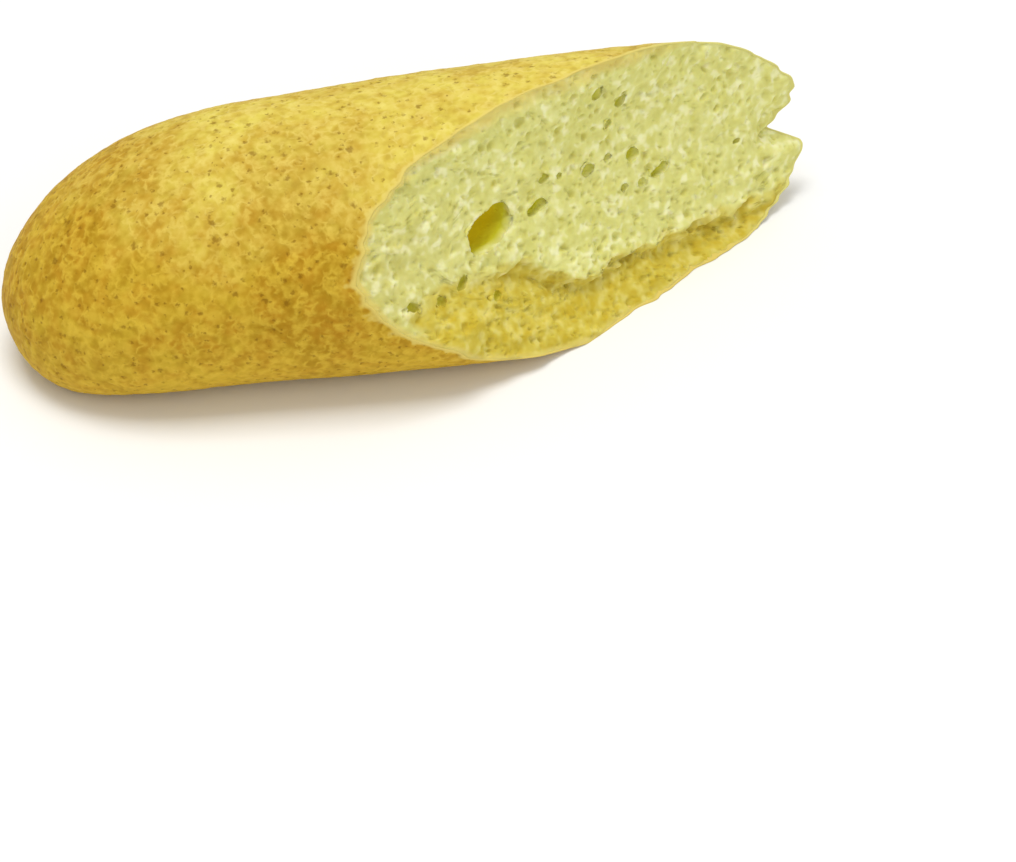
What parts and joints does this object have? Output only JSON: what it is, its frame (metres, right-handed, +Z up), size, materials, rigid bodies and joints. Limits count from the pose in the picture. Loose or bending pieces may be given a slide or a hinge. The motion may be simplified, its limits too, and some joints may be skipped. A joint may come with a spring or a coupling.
{
  "type": "torn half of a semolina baguette",
  "caption": "Half of a soft golden semolina baguette with one rounded end and a long slanting torn face that shows pale yellow crumb.",
  "frame": {"origin": "on the flat sole, in the middle of the length and width of the half loaf", "axes": "+X along the loaf from the closed end towards the torn end, +Z up from the sole"},
  "size_m": [0.177, 0.0654, 0.0548],
  "materials": {
    "bread": "baked golden crust, dry and finely pitted, with pale yellow porous crumb on the torn face"
  },
  "bodies": {
    "root": {"half_baguette": "bread"}
  },
  "joints": []
}
